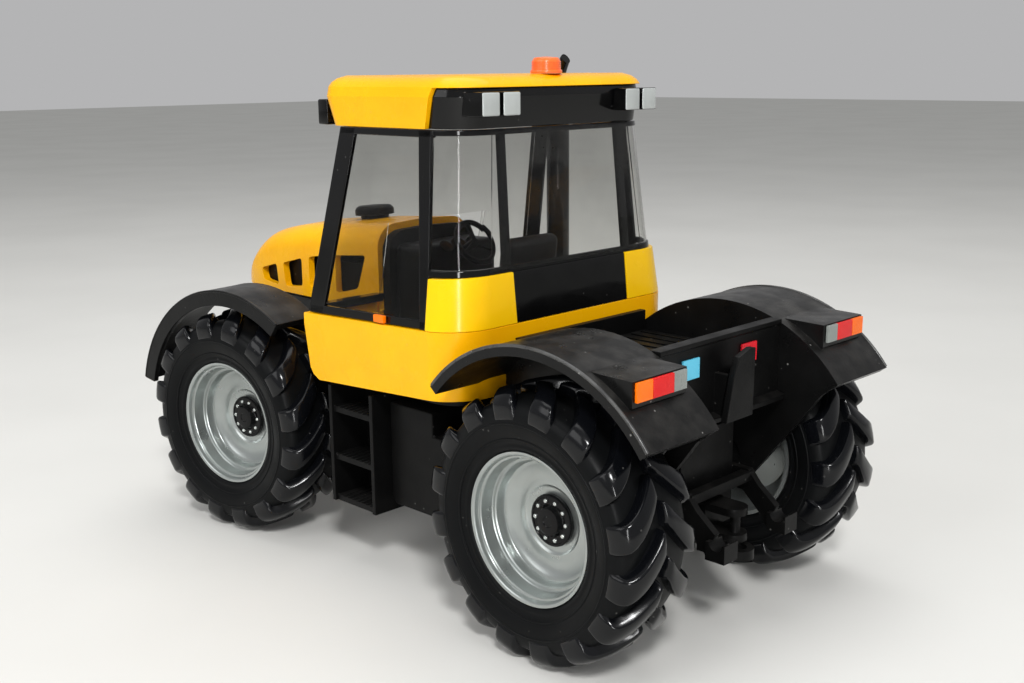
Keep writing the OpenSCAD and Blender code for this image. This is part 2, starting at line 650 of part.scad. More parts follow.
// Roof in plan, set in by i, with its front end set back by nose
roof_front = -61.2;
roof_rear = -23;
roof_corner = 8;
module roof_plan(i, nose = 0) {
  front = roof_front + nose;
  x = roof_w / 2 - i;
  c = roof_w / 2 - roof_corner;
  f = roof_w / 2 - 4;
  translate([-x, front + 4]) square([2 * x, roof_rear - roof_corner - front - 4]);
  translate([-c, front + i]) square([2 * c, roof_rear - front - 2 * i]);
  translate([-f, front + i]) square([2 * f, 10]);
  for (s = [-1, 1]) {
    translate([s * c, roof_rear - roof_corner]) circle(roof_corner - i);
    translate([s * f, front + 4]) circle(4 - i, $fn = 32);
  }
}
module roof_slice(i, z, nose = 0) {
  translate([0, 0, z]) linear_extrude(0.1) roof_plan(i, nose);
}

// The roof's edge, widest at a crease, and the hollow it stands round
crease_h = 5.3;
skirt_in = 0.7;
module roof_edge(i) {
  hull() {
    roof_slice(i + skirt_in, roof_low, 1.1);
    roof_slice(i, roof_low + crease_h);
  }
  hull() {
    roof_slice(i, roof_low + crease_h);
    roof_slice(i + 0.3, roof_top - 0.09);
  }
}
module roof_skirt(i) {
  difference() {
    roof_edge(i);
    translate([0, 0, roof_low - 1]) linear_extrude(30) roof_plan(skirt_t + skirt_in);
  }
}
band_front = [[-32.4, roof_low], [-29.9, roof_top]];
module roof() {
  color(body_yellow) home() {
    hull() {
      roof_slice(0.3, roof_top);
      roof_slice(0.9, roof_top + 0.38 * roof_crown);
      roof_slice(2, roof_top + 0.72 * roof_crown);
      roof_slice(3.8, roof_top + roof_crown - 0.1);
    }
    intersection() {
      roof_skirt(0);
      across(-40, 40) polygon([[-80, roof_low - 1], [band_front[0][0], roof_low - 1], band_front[0],
        [band_front[1][0], roof_top + 0.1], [-80, roof_top + 0.1]]);
    }
  }
}
module roof_band() {
  color(black) home() intersection() {
    roof_skirt(0.8);
    across(-40, 40) polygon([[band_front[0][0] + fit, roof_low - 1], [0, roof_low - 1], [0, roof_top - fit],
      [band_front[1][0] + fit, roof_top - fit], [band_front[0][0] + fit, roof_low]]);
  }
}

// Work lamps: four on the band at the back, two in front
module work_lamps_rear() {
  color(silver) home() difference() {
    pair() for (x = [roof_w / 2 - 12.5, roof_w / 2 - 7.55]) translate([x, roof_rear - 4, roof_low + 2.1])
      cube([4.25, 6.15, 4.1]);
    roof_edge(0.8 - fit);
  }
}
module work_lamps_front() {
  color(black) home() difference() {
    pair() translate([19, roof_front - 2.2, roof_low + 0.9]) cube([3, 3.4, 4.2]);
    roof_edge(-fit);
  }
}
module side_markers() {
  color([1, 0.5, 0.05]) home() pair() translate([win_x(27) + fit + 0.02, -42.6, sill(-40) + 0.3]) cube([0.8, 2.8, 1.4]);
}
module beacon() {
  color([1, 0.42, 0.15]) home() translate([0, -28, roof_top + roof_crown + fit]) rotate_extrude()
    polygon([[0, 0], [2.9, 0], [2.9, 0.6], [2.6, 0.7], [2.6, 2.2], [2.2, 2.8], [0, 3]]);
}

// Load deck: floor, front rail and tailboard
board_low = 13.4;
board_top = 27.8;
module load_deck() {
  w = wall_x;
  color(black) home() {
    across(-w, w) polygon([[-19.4, deck_h - deck_t], [tail_y - deck_t + 0.01, deck_h - deck_t],
      [tail_y - deck_t + 0.01, deck_h], [-18, deck_h], [-18, 25.4], [-19.4, 25.4]]);
    across(-w, w) polygon([[tail_y - deck_t, board_low], [tail_y + 1.6, board_low], [tail_y + 1.6, board_low + 0.9],
      [tail_y, board_low + 1.4], [tail_y, board_top - 1], [tail_y + 0.4, board_top - 0.8], [tail_y + 0.4, board_top],
      [tail_y - deck_t - 0.6, board_top], [tail_y - deck_t - 0.6, board_top - 1], [tail_y - deck_t, board_top - 1.4]]);
    // bracket behind the tailboard on two ribs
    translate([0, tail_y + 4, 0]) rotate([90, 0, 0]) linear_extrude(1.2)
      polygon([[4.1, board_low + 0.5], [2.2, 21.6], [0.8, 24.6], [-2.6, 25.7], [-3.9, 25.5], [-3.6, board_low + 0.5]]);
    for (x = [-3.4, 1]) translate([x, tail_y - 0.01, board_low + 0.6]) cube([1.1, 3, 7.6]);
  }
}
module plate(x) {
  home() translate([x, tail_y + fit, 21.8]) cube([4.4, 0.45, 3.4]);
}
module plate_blue() {
  color([0.35, 0.75, 0.9]) plate(7);
}
module plate_red() {
  color([0.9, 0.15, 0.15]) plate(-9.6);
}

// Drawbar with a pin hole, and the jaw with its upright pin above it
drawbar_y = 16.5;
module drawbar() {
  color(black) home() difference() {
    union() {
      translate([-2.6, 9.6 + fit, -10.4]) cube([5.2, drawbar_y - 9.6, 1.8]);
      translate([0, drawbar_y, -10.4]) cylinder(h = 1.8, r = 2.6);
      translate([-2.6, 9.6 + fit, -10.4]) cube([5.2, 1.6, 9]);
      for (z = [-7.4, -2.8]) {
        translate([-2.4, 9.7, z]) cube([4.8, 5.6, 1.3]);
        translate([0, 15.2, z]) cylinder(h = 1.3, r = 2.4);
      }
      translate([0, 15.6, -7.4]) cylinder(h = 5.9, r = 0.9);
    }
    translate([0, drawbar_y, -12]) cylinder(h = 4, r = drawbar_hole_r);
  }
}

// Lower links, one moulding that swings on two pins
module link_side() {
  polygon([[pivot_y - 1, pivot_z + 1.9], [pivot_y + 5, 2.2], [14.4, -0.2], [18.6, -3.6], [20.4, -4.2], [20.4, -7.4],
    [16.6, -7.6], [15.2, -5.4], [11.4, -1.8], [pivot_y - 1, pivot_z - 1.9]]);
  translate([pivot_y, pivot_z]) circle(2.1);
}
module rear_linkage() {
  color(black) home() difference() {
    union() {
      pair() across(link_x - link_t / 2, link_x + link_t / 2) link_side();
      across(-link_x, link_x) polygon([[11, 0.2], [11, 1.9], [13, 1.9], [13, 0.2]]);
      pair() across(link_x - 1.9, link_x + 1.9) polygon([[17.2, -7.4], [17.2, -4.2], [21, -4.2], [21, -7.4]]);
    }
    pair() translate([link_x - 3, pivot_y, pivot_z]) rotate([0, 90, 0]) cylinder(h = 6, r = 1.2 + stub_fit);
    pair() translate([link_x - 6, 19.2, -4.2]) rotate([0, 90, 0]) cylinder(h = 12, r = 1.3);
  }
}

module knuckle_left() {
  color(black) on_knuckle(1) knuckle_shape();
}
module knuckle_right() {
  color(black) on_knuckle(-1) knuckle_shape();
}
module front_fender_left() {
  color(black) on_knuckle(1) front_fender_shape();
}
module front_fender_right() {
  color(black) on_knuckle(-1) front_fender_shape();
}
module tyre_front_left() {
  color(black) front_wheel(1) tyre();
}
module tyre_front_right() {
  color(black) front_wheel(-1) tyre();
}
module tyre_rear_left() {
  color(black) rear_wheel(1) tyre();
}
module tyre_rear_right() {
  color(black) rear_wheel(-1) tyre();
}
module rim_front_left() {
  color(silver) front_wheel(1) rim();
}
module rim_front_right() {
  color(silver) front_wheel(-1) rim();
}
module rim_rear_left() {
  color(silver) rear_wheel(1) rim();
}
module rim_rear_right() {
  color(silver) rear_wheel(-1) rim();
}
module hub_front_left() {
  color(black) front_wheel(1) hub();
}
module hub_front_right() {
  color(black) front_wheel(-1) hub();
}
module hub_rear_left() {
  color(black) rear_wheel(1) hub();
}
module hub_rear_right() {
  color(black) rear_wheel(-1) hub();
}

chassis();
engine();
front_axle();
rear_axle();
side_tanks();
steps();
bonnet();
bonnet_liner();
headlamps();
air_cleaner();
exhaust_stack();
rear_fender_left();
rear_fender_right();
tail_lamps_amber();
tail_lamps_red();
tail_lamps_grey();
cab_tub();
cab_floor();
corner_panel_left();
corner_panel_right();
cab_rear_panel();
cab_frame();
glazing();
dashboard();
steering_wheel();
seat();
roof();
roof_band();
work_lamps_rear();
work_lamps_front();
side_markers();
beacon();
load_deck();
plate_blue();
plate_red();
drawbar();
rear_linkage();
knuckle_left();
knuckle_right();
front_fender_left();
front_fender_right();
tyre_front_left();
tyre_front_right();
tyre_rear_left();
tyre_rear_right();
rim_front_left();
rim_front_right();
rim_rear_left();
rim_rear_right();
hub_front_left();
hub_front_right();
hub_rear_left();
hub_rear_right();
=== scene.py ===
"""Looks of the toy farm tractor: camera, studio, materials and the detailed pieces over the CAD frame."""
import math

import bmesh
import bpy
from mathutils import Matrix, Vector


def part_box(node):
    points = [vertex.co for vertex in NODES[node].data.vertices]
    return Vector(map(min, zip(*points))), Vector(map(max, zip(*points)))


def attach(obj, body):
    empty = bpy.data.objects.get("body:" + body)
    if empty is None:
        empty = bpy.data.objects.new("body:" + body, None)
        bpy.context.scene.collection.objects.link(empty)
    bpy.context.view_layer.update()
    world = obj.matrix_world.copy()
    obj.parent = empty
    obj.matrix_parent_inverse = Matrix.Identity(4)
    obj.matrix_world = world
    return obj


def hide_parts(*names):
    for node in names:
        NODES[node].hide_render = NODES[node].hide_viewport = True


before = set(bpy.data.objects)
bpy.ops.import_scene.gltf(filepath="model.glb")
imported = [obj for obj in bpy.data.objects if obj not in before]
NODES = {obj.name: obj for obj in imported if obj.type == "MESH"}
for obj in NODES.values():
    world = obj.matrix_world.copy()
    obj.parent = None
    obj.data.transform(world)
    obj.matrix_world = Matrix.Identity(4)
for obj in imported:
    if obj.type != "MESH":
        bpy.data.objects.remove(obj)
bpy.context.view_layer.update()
MM = 0.001

# The rear axle's place along the frame and its height, in millimetres: the detailed pieces are drawn from it
HOME_Y = sum(corner[1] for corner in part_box("hub_rear_left")) / 2 / MM
AXLE_Z = 23.0

# Camera, at the photograph's place: picture width and focal length in pixels, sensor and place in millimetres
YAW, PITCH, ROLL = math.radians(-135.331), math.radians(12.790), math.radians(-0.563)
PICTURE_PX, FOCAL_PX, SENSOR = 1024, 1201.28, 36
CAMERA_AT = (163.477, 124.202 + HOME_Y, 94.208)
look = Vector((math.cos(YAW) * math.cos(PITCH), math.sin(YAW) * math.cos(PITCH), -math.sin(PITCH)))
side = look.cross(Vector((0, 0, 1))).normalized()
upward = side.cross(look)
right = side * math.cos(ROLL) + upward * math.sin(ROLL)
top = upward * math.cos(ROLL) - side * math.sin(ROLL)
cam_data = bpy.data.cameras.new("camera")
cam_data.sensor_width = SENSOR
cam_data.lens = FOCAL_PX * SENSOR / PICTURE_PX
cam_data.clip_start = 0.005
cam = bpy.data.objects.new("camera", cam_data)
turn = Matrix((right, top, -look)).transposed().to_4x4()
cam.matrix_world = Matrix.Translation([c * MM for c in CAMERA_AT]) @ turn
bpy.context.scene.collection.objects.link(cam)
bpy.context.scene.camera = cam
bpy.context.scene.view_settings.view_transform = "Standard"


def srgb(r, g, b):
    """A colour written as 0 to 255 screen values."""
    def lin(c):
        c /= 255
        return c / 12.92 if c <= 0.04045 else ((c + 0.055) / 1.055) ** 2.4
    return lin(r), lin(g), lin(b), 1.0


def node_of(tree, kind, **values):
    """A shader node with some of its settings."""
    n = tree.nodes.new(kind)
    for key, value in values.items():
        setattr(n, key, value)
    return n


# Noise scales that dust and specks follow, their colours, and how strongly the grain stands out
DUST_SCALE, SPECK_SCALE, SPECK_AREA_SCALE = 260, 620, 310
DUST_COLOUR, SPECK_COLOUR = srgb(126, 123, 118), srgb(205, 203, 198)
RELIEF = 0.35


def material(name, base, other=None, rough=0.35, spread=0.06, grain=900, bump=0.02, metal=0.0, coat=0.0,
             coat_rough=0.1, specks=0.0, dust=0.0, clear=0.0, ior=1.46, patch=90, spec=0.5, ribs=0):
    """A moulded or painted surface: soft colour patches, fine grain, gloss variation, specks and settled dust."""
    m = bpy.data.materials.new(name)
    m.use_nodes = True
    t = m.node_tree
    t.nodes.clear()
    out = node_of(t, "ShaderNodeOutputMaterial")
    bsdf = node_of(t, "ShaderNodeBsdfPrincipled")
    t.links.new(bsdf.outputs[0], out.inputs[0])
    put = bsdf.inputs
    put["Metallic"].default_value = metal
    put["IOR"].default_value = ior
    put["Coat Weight"].default_value = coat
    put["Coat Roughness"].default_value = coat_rough
    put["Specular IOR Level"].default_value = spec
    put["Transmission Weight"].default_value = clear
    place = node_of(t, "ShaderNodeTexCoord").outputs["Object"]

    def noise(scale, detail=3.0):
        n = node_of(t, "ShaderNodeTexNoise")
        n.inputs["Scale"].default_value = scale
        n.inputs["Detail"].default_value = detail
        t.links.new(place, n.inputs["Vector"])
        return n.outputs["Fac"]

    def mix(fac, a, b):
        n = node_of(t, "ShaderNodeMix", data_type="RGBA")
        t.links.new(fac, n.inputs["Factor"])
        for index, value in ((6, a), (7, b)):
            if isinstance(value, tuple):
                n.inputs[index].default_value = value
            else:
                t.links.new(value, n.inputs[index])
        return n.outputs[2]

    def spread_out(fac, low, high, to_low, to_high):
        n = node_of(t, "ShaderNodeMapRange", clamp=True)
        for key, value in (("From Min", low), ("From Max", high), ("To Min", to_low), ("To Max", to_high)):
            n.inputs[key].default_value = value
        t.links.new(fac, n.inputs["Value"])
        return n.outputs[0]

    def times(a, b):
        n = node_of(t, "ShaderNodeMath", operation="MULTIPLY")
        t.links.new(a, n.inputs[0])
        t.links.new(b, n.inputs[1])
        return n.outputs[0]

    other = other or tuple(c * 0.86 for c in base[:3]) + (1.0,)
    colour = mix(spread_out(noise(patch, 4), 0.38, 0.66, 0, 1), base, other)
    gloss = spread_out(noise(patch * 2.3, 5), 0.3, 0.7, max(0.02, rough - spread), min(1, rough + spread))
    if dust:
        lie = node_of(t, "ShaderNodeNewGeometry").outputs["Normal"]
        split = node_of(t, "ShaderNodeSeparateXYZ")
        t.links.new(lie, split.inputs[0])
        up = spread_out(split.outputs[2], 0.35, 0.95, 0, dust)
        film = times(up, spread_out(noise(DUST_SCALE, 6), 0.42, 0.68, 0.15, 1))
        colour = mix(film, colour, DUST_COLOUR)
    if specks:
        cells = node_of(t, "ShaderNodeTexVoronoi")
        cells.inputs["Scale"].default_value = SPECK_SCALE
        t.links.new(place, cells.inputs["Vector"])
        dots = spread_out(cells.outputs["Distance"], 0.07, 0.13, 1, 0)
        few = spread_out(noise(SPECK_AREA_SCALE, 2), 0.56, 0.6, 0, specks)
        colour = mix(times(dots, few), colour, SPECK_COLOUR)
    t.links.new(colour, put["Base Color"])
    t.links.new(gloss, put["Roughness"])
    height = noise(grain, 6)
    if ribs:
        wave = node_of(t, "ShaderNodeTexWave", bands_direction="X")
        wave.inputs["Scale"].default_value = ribs
        t.links.new(place, wave.inputs["Vector"])
        height = wave.outputs["Fac"]
    relief = node_of(t, "ShaderNodeBump")
    relief.inputs["Strength"].default_value = RELIEF
    relief.inputs["Distance"].default_value = bump * MM
    t.links.new(height, relief.inputs["Height"])
    t.links.new(relief.outputs[0], put["Normal"])
    return m


YELLOW = material("tub_yellow", srgb(255, 186, 4), srgb(252, 178, 3), rough=0.26, spread=0.05, coat=0.08,
                  coat_rough=0.06, specks=0.15, bump=0.01, spec=0.2)
PANEL = material("panel_yellow", srgb(255, 203, 6), srgb(253, 196, 5), rough=0.24, spread=0.05, coat=0.12,
                 coat_rough=0.05, specks=0.1, bump=0.01, spec=0.25)
BLACK = material("black_plastic", srgb(12, 12, 12), srgb(8, 8, 8), rough=0.4, spread=0.08, specks=0.12,
                 dust=0.04, bump=0.05, grain=1500, spec=0.12)
GLOSS = material("gloss_black", srgb(9, 9, 9), srgb(6, 6, 7), rough=0.1, spread=0.04, specks=0.06, bump=0.008,
                 spec=0.32)
FENDER = material("fender_black", srgb(15, 15, 15), srgb(10, 10, 10), rough=0.34, spread=0.1, specks=0.3, dust=0.14,
                  bump=0.06, grain=1300, spec=0.24)
TYRE = material("tyre_rubber", srgb(11, 12, 13), srgb(7, 8, 9), rough=0.42, spread=0.08, specks=0.1, dust=0.01,
                bump=0.03, grain=1100, spec=0.12)
LUG = material("lug_rubber", srgb(10, 11, 14), srgb(7, 8, 10), rough=0.16, spread=0.05, specks=0.08, bump=0.02,
               grain=1000, spec=0.32)
RIM = material("rim_silver", srgb(172, 177, 175), srgb(160, 165, 163), rough=0.3, spread=0.04, metal=0.85,
               bump=0.004, grain=700, specks=0.04)
HUB = material("hub_black", srgb(7, 7, 8), srgb(5, 5, 6), rough=0.16, spread=0.04, bump=0.01, spec=0.2)
BOLT = material("bolt_bright", srgb(205, 208, 205), srgb(180, 184, 181), rough=0.2, metal=0.9, bump=0.01)
CLEAR = material("clear_glazing", srgb(238, 238, 236), srgb(232, 232, 230), rough=0.02, spread=0.01, clear=1.0,
                 ior=1.2, bump=0.001)
# Rear fender lips: their grey colour is a painted highlight along the edge, with pale specks on it
EDGE = material("worn_edge", srgb(74, 74, 73), srgb(46, 46, 46), rough=0.3, spread=0.1, specks=0.4, bump=0.05,
                grain=1300, patch=240)
LENS = material("lamp_clear", srgb(232, 236, 240), srgb(210, 216, 222), rough=0.12, ribs=900, bump=0.06)
AMBER = material("amber_lens", srgb(255, 122, 2), srgb(248, 108, 2), rough=0.26, ribs=1500, bump=0.03, spec=0.3)
RED = material("red_lens", srgb(232, 22, 22), srgb(214, 14, 16), rough=0.26, ribs=1500, bump=0.03, spec=0.3)
SILVER_LENS = material("lamp_face", srgb(190, 194, 192), srgb(176, 180, 178), rough=0.2, metal=0.2, ribs=1100,
                       bump=0.05)
SEAT = material("seat_black", srgb(30, 30, 32), srgb(23, 23, 25), rough=0.55, bump=0.08, grain=1700)
GREY = material("grey_lens", srgb(142, 147, 143), srgb(128, 133, 129), rough=0.3, ribs=1500, bump=0.03)
BLUE = material("blue_plate", srgb(96, 196, 226), srgb(84, 184, 216), rough=0.3, bump=0.02, specks=0.3)
REDP = material("red_plate", srgb(222, 30, 44), srgb(206, 22, 36), rough=0.3, bump=0.02, specks=0.3)
ORANGE = material("beacon_orange", srgb(255, 118, 48), srgb(248, 104, 36), rough=0.25, coat=0.4, bump=0.02)
ENGINE = material("engine_grey", srgb(44, 45, 47), srgb(34, 35, 37), rough=0.45, spread=0.1, metal=0.3, bump=0.06)

for name, mat in {
    "chassis": BLACK, "engine": ENGINE, "front_axle": BLACK, "rear_axle": BLACK, "side_tanks": BLACK, "steps": BLACK,
    "bonnet": YELLOW, "bonnet_liner": BLACK, "headlamps": LENS, "air_cleaner": BLACK, "exhaust_stack": GLOSS,
    "rear_fender_left": FENDER, "rear_fender_right": FENDER, "tail_lamps_amber": AMBER, "tail_lamps_red": RED,
    "tail_lamps_grey": GREY, "cab_tub": YELLOW, "cab_floor": BLACK, "corner_panel_left": PANEL,
    "corner_panel_right": PANEL, "cab_rear_panel": GLOSS, "cab_frame": GLOSS, "glazing": CLEAR, "dashboard": BLACK,
    "steering_wheel": BLACK, "seat": SEAT, "roof": YELLOW, "roof_band": GLOSS, "work_lamps_rear": GLOSS,
    "work_lamps_front": GLOSS, "side_markers": AMBER, "beacon": ORANGE, "load_deck": BLACK, "plate_blue": BLUE,
    "plate_red": REDP, "drawbar": BLACK, "rear_linkage": BLACK, "knuckle_left": BLACK, "knuckle_right": BLACK,
    "front_fender_left": FENDER, "front_fender_right": FENDER,
}.items():
    NODES[name].data.materials.clear()
    NODES[name].data.materials.append(mat)


def smooth_group(angle=24):
    """Modifier that shades a piece smooth and keeps the edges sharp that turn by more than an angle."""
    g = bpy.data.node_groups.new("smooth_by_angle", "GeometryNodeTree")
    g.interface.new_socket("Geometry", in_out="INPUT", socket_type="NodeSocketGeometry")
    g.interface.new_socket("Geometry", in_out="OUTPUT", socket_type="NodeSocketGeometry")
    first, last = g.nodes.new("NodeGroupInput"), g.nodes.new("NodeGroupOutput")
    faces, edges = g.nodes.new("GeometryNodeSetShadeSmooth"), g.nodes.new("GeometryNodeSetShadeSmooth")
    edges.domain = "EDGE"
    edges.inputs["Shade Smooth"].default_value = False
    turned, sharp = g.nodes.new("GeometryNodeInputMeshEdgeAngle"), g.nodes.new("FunctionNodeCompare")
    sharp.data_type, sharp.operation = "FLOAT", "GREATER_THAN"
    sharp.inputs[1].default_value = math.radians(angle)
    g.links.new(turned.outputs[0], sharp.inputs[0])
    g.links.new(sharp.outputs[0], edges.inputs["Selection"])
    g.links.new(first.outputs[0], faces.inputs[0])
    g.links.new(faces.outputs[0], edges.inputs[0])
    g.links.new(edges.outputs[0], last.inputs[0])
    return g


SMOOTH = smooth_group()


def round_edges(o, width, segments, angle):
    """Rounds the edges that turn by more than an angle in degrees, over a width in millimetres."""
    edge = o.modifiers.new("edge", "BEVEL")
    edge.width = width * MM
    edge.segments = segments
    edge.limit_method = "ANGLE"
    edge.angle_limit = math.radians(angle)


def soften(node, width):
    """Moulded edges on a CAD node, by modifiers, so that its own mesh stays as it is."""
    o = NODES[node]
    weld = o.modifiers.new("weld", "WELD")
    weld.merge_threshold = 0.002 * MM
    flat = o.modifiers.new("flat", "DECIMATE")
    flat.decimate_type = "DISSOLVE"
    flat.angle_limit = math.radians(0.6)
    round_edges(o, width, 2, 30)
    o.modifiers.new("smooth", "NODES").node_group = SMOOTH
    o.modifiers.new("shade", "WEIGHTED_NORMAL").keep_sharp = True


def outward(mesh):
    """Turns the faces of a closed mesh outward."""
    bm = bmesh.new()
    bm.from_mesh(mesh)
    bmesh.ops.recalc_face_normals(bm, faces=bm.faces)
    bm.to_mesh(mesh)
    bm.free()


def add_mesh(name, points, faces, mat, body, node, matrix, smooth, slot):
    """One piece from points in millimetres, riding on its body, sharp where it turns by more than smooth degrees."""
    mesh = bpy.data.meshes.new(name)
    if matrix.determinant() < 0:
        faces = [tuple(reversed(f)) for f in faces]
    mesh.from_pydata([(matrix @ Vector(p)) * MM for p in points], [], faces)
    mesh.validate()
    mesh.materials.append(mat)
    mesh.shade_smooth()
    mesh.set_sharp_from_angle(angle=math.radians(smooth))
    o = bpy.data.objects.new(name, mesh)
    bpy.context.scene.collection.objects.link(o)
    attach(o, body)
    if node:
        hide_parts(*([node] if isinstance(node, str) else node))
    return o


def smooth_line(points, steps=4):
    """A smooth curve through points, with any count of numbers in each."""
    out = []
    for i in range(len(points) - 1):
        p0 = points[max(i - 1, 0)]
        p1, p2 = points[i], points[i + 1]
        p3 = points[min(i + 2, len(points) - 1)]
        for s in range(steps):
            u = s / steps
            out.append(tuple(0.5 * (2 * b + (c - a) * u + (2 * a - 5 * b + 4 * c - d) * u * u
                                    + (3 * b - a - 3 * c + d) * u ** 3) for a, b, c, d in zip(p0, p1, p2, p3)))
    out.append(tuple(points[-1]))
    return out


def ring_solid(profile, n, closed=True):
    """Turns a profile of (x, radius) round the X axis."""
    pts, faces = [], []
    for x, r in profile:
        pts += [(x, r * math.cos(2 * math.pi * k / n), r * math.sin(2 * math.pi * k / n)) for k in range(n)]
    m = len(profile)
    for j in range(m if closed else m - 1):
        for k in range(n):
            a, b = j * n + k, j * n + (k + 1) % n
            c, d = ((j + 1) % m) * n + k, ((j + 1) % m) * n + (k + 1) % n
            faces.append((a, b, d, c))
    return pts, faces


def join(*parts):
    """Several parts, each a pair of points and faces, as one."""
    pts, faces = [], []
    for p, f in parts:
        faces += [tuple(i + len(pts) for i in face) for face in f]
        pts += p
    return pts, faces


def moved(part, m):
    """A part carried by a matrix."""
    return [tuple(m @ Vector(p)) for p in part[0]], part[1]


# From the rear axle's middle to the frame, and from round X to standing upright
HOME = Matrix.Translation((0, HOME_Y, AXLE_Z))
UPRIGHT = Matrix.Rotation(-math.pi / 2, 4, "Y")


def block(x0, x1, y0, y1, z0, z1, r=0.12, segments=2):
    """A box with rounded edges."""
    bm = bmesh.new()
    bmesh.ops.create_cube(bm, size=1)
    for v in bm.verts:
        v.co = ((x0 + x1) / 2 + v.co.x * (x1 - x0), (y0 + y1) / 2 + v.co.y * (y1 - y0),
                (z0 + z1) / 2 + v.co.z * (z1 - z0))
    bmesh.ops.bevel(bm, geom=bm.edges[:], offset=r, segments=segments, profile=0.5, affect="EDGES")
    bm.verts.index_update()
    part = [tuple(v.co) for v in bm.verts], [tuple(v.index for v in f.verts) for f in bm.faces]
    bm.free()
    return part


def pipe(line, radius, n=10):
    """A round bar along a line, closed at both ends."""
    line = [Vector(p) for p in line]
    pts, faces = [], []
    across = None
    for i, p in enumerate(line):
        way = (line[min(i + 1, len(line) - 1)] - line[max(i - 1, 0)]).normalized()
        across = across or way.orthogonal().normalized()
        across = (across - way * across.dot(way)).normalized()
        other = way.cross(across)
        pts += [tuple(p + (across * math.cos(2 * math.pi * k / n) + other * math.sin(2 * math.pi * k / n)) * radius)
                for k in range(n)]
    for i in range(len(line) - 1):
        for k in range(n):
            a, b = i * n + k, i * n + (k + 1) % n
            faces.append((a, b, b + n, a + n))
    faces.append(tuple(reversed(range(n))))
    faces.append(tuple(range((len(line) - 1) * n, len(line) * n)))
    return pts, faces


def both_sides(*parts):
    """Parts drawn on the left and their mirror on the right."""
    every = join(*parts)
    return join(every, ([(-x, y, z) for x, y, z in every[0]], [tuple(reversed(f)) for f in every[1]]))


# Wheels: where each one stands, drawn round X with its outer side to +X
WHEELBASE, WHEEL_X, KINGPIN_X, STEER = 89.5, 28.0, 15.5, math.radians(8)


def knuckle_matrix(way):
    """The place and the turn of a steering knuckle at its kingpin."""
    pin = Matrix.Translation((way * KINGPIN_X, HOME_Y - WHEELBASE, AXLE_Z))
    return pin @ Matrix.Rotation(STEER, 4, "Z") @ Matrix.Diagonal((way, 1, 1, 1))


def wheel_matrix(axle, way):
    if axle == "rear":
        return HOME @ Matrix.Diagonal((way, 1, 1, 1)) @ Matrix.Translation((WHEEL_X, 0, 0))
    return knuckle_matrix(way) @ Matrix.Translation((WHEEL_X - KINGPIN_X, 0, 0))


# Lugs on each half of a tyre, the angle from one to the next, and their half width there and its growth outward
LUGS = 16
LUG_PITCH = 2 * math.pi / LUGS
LUG_HALF, LUG_GROWTH = 0.245, 0.09

# Bolts in a hub's ring and the radius that they stand on
BOLTS, BOLT_CIRCLE = 10, 3.3


def carcass():
    """The tyre without its lugs."""
    half = smooth_line([(6.78, 12.8), (7.1, 13.05), (7.3, 13.5), (7.25, 14.0), (7.45, 14.6), (7.95, 15.7),
                        (8.28, 17.0), (8.3, 17.9), (8.14, 18.8), (7.9, 19.5), (7.4, 20.2), (6.3, 20.75),
                        (4.6, 21.0), (2.2, 21.1), (0, 21.1)], 3)
    full = half + [(-x, r) for x, r in reversed(half[:-1])]
    return ring_solid(full, 192)


def lug(way, turn_a):
    """One lug: it leaves the middle, sweeps back in a curve, and wraps over the shoulder."""
    tops = smooth_line([(0.3, 22.3, 0.0), (0.75, 22.95, 0.02), (2.4, 22.98, 0.25), (4.6, 22.88, 0.5),
                        (6.4, 22.55, 0.65), (7.6, 21.95, 0.73), (8.25, 21.0, 0.75), (8.46, 19.9, 0.755),
                        (8.48, 18.9, 0.755), (8.38, 18.3, 0.755)], 3)
    base = smooth_line([(0.2, 20.9), (0.75, 20.9), (2.4, 20.9), (4.6, 20.8), (6.2, 20.5), (7.1, 20.0), (7.6, 19.3),
                        (7.8, 18.7), (7.9, 18.1), (7.95, 17.8)], 3)
    pts, faces = [], []
    m = len(tops)
    across = ((-1, 0.0), (-0.88, 0.5), (-0.8, 0.8), (-0.72, 0.94), (-0.6, 1.0), (0, 1.008), (0.6, 1.0),
              (0.72, 0.94), (0.8, 0.8), (0.88, 0.5), (1, 0.0))
    for j, ((x, r, trail), (bx, br)) in enumerate(zip(tops, base)):
        u = j / (m - 1)
        wide = (LUG_HALF + LUG_GROWTH * min(1, u * 1.5)) * LUG_PITCH
        for w, h in across:
            px, pr = bx + (x - bx) * h, br + (r - br) * h
            a = turn_a - trail * LUG_PITCH + w * wide
            pts.append((way * px, pr * math.cos(a), pr * math.sin(a)))
    n = len(across)
    for j in range(m - 1):
        for i in range(n - 1):
            q = (j * n + i, (j + 1) * n + i, (j + 1) * n + i + 1, j * n + i + 1)
            faces.append(q if way > 0 else tuple(reversed(q)))
    for j in (0, m - 1):
        q = tuple(j * n + i for i in range(n))
        faces.append(q if (j == 0) == (way > 0) else tuple(reversed(q)))
    return pts, faces


def tyre_lugs():
    """The lugs of both halves, set half a pitch apart."""
    both = []
    for k in range(LUGS):
        both += [lug(1, LUG_PITCH * (k + 0.25)), lug(-1, LUG_PITCH * (k + 0.75))]
    return join(*both)


def side_ribs():
    """Raised rings moulded on the sidewalls."""
    rings = []
    for way in (1, -1):
        for r, x in ((14.9, 7.63), (17.55, 8.31)):
            rings.append(ring_solid([(way * (x + 0.13 * math.cos(a)), r + 0.2 * math.sin(a) * way)
                                     for a in [k * math.pi / 4 for k in range(8)]], 160))
    return join(*rings)


